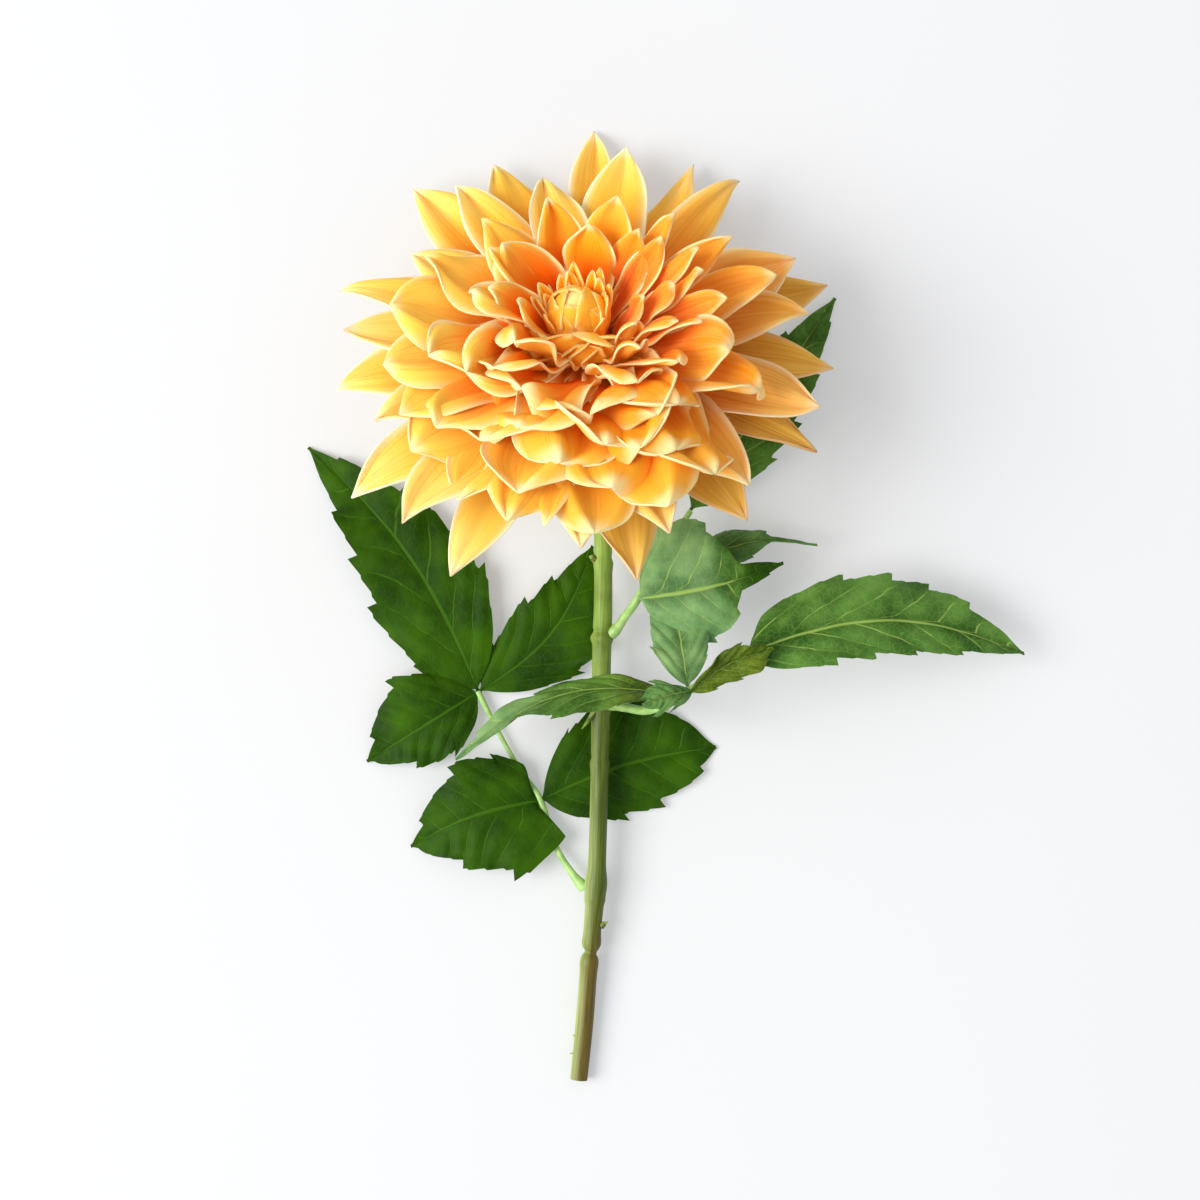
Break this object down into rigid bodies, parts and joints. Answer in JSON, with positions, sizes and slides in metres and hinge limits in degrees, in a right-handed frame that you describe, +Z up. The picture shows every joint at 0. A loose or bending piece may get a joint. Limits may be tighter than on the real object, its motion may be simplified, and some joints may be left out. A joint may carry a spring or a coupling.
{
  "type": "dahlia flower",
  "caption": "Single cut dahlia lying on its back: a golden orange many-petalled flower head on a green stem with compound leaves.",
  "frame": {"origin": "under the middle of the flower's bounding box, on the surface that it lies on", "axes": "+Z up from the surface, +Y along the stem from its cut end to the flower head, +X to the right seen from above"},
  "size_m": [0.2434, 0.3236, 0.0914],
  "materials": {
    "petal": "matte",
    "bud": "matte",
    "leaf": "satin",
    "stem": "satin"
  },
  "bodies": {
    "root": {"stem": "stem", "left_leaf_stalk": "stem", "right_leaf_stalk": "stem", "upper_leaf_stalk": "stem", "receptacle": "stem", "bracts": "leaf", "left_leaflet_tip": "leaf", "left_leaflet_upper_right": "leaf", "left_leaflet_upper_left": "leaf", "left_leaflet_lower_left": "leaf", "left_leaflet_lower_right": "leaf", "right_leaflet_tip": "leaf", "right_leaflet_crossing": "leaf", "right_leaflet_inner": "leaf", "right_leaflet_small": "leaf", "right_leaflet_curled": "leaf", "upper_leaflet_front": "leaf", "upper_leaflet_curled": "leaf", "upper_leaflet_tip": "leaf", "centre_bud": "bud", "outer_petal_01": "petal", "outer_petal_02": "petal", "outer_petal_03": "petal", "outer_petal_04": "petal", "outer_petal_05": "petal", "outer_petal_06": "petal", "outer_petal_07": "petal", "outer_petal_08": "petal", "outer_petal_09": "petal", "outer_petal_10": "petal", "outer_petal_11": "petal", "outer_petal_12": "petal", "outer_petal_13": "petal", "second_petal_01": "petal", "second_petal_02": "petal", "second_petal_03": "petal", "second_petal_04": "petal", "second_petal_05": "petal", "second_petal_06": "petal", "second_petal_07": "petal", "second_petal_08": "petal", "second_petal_09": "petal", "second_petal_10": "petal", "second_petal_11": "petal", "second_petal_12": "petal", "second_petal_13": "petal", "second_petal_14": "petal", "third_petal_01": "petal", "third_petal_02": "petal", "third_petal_03": "petal", "third_petal_04": "petal", "third_petal_05": "petal", "third_petal_06": "petal", "third_petal_07": "petal", "third_petal_08": "petal", "third_petal_09": "petal", "petal_whorl_4": "petal", "petal_whorl_5": "petal", "petal_whorl_6": "petal"}
  },
  "joints": []
}
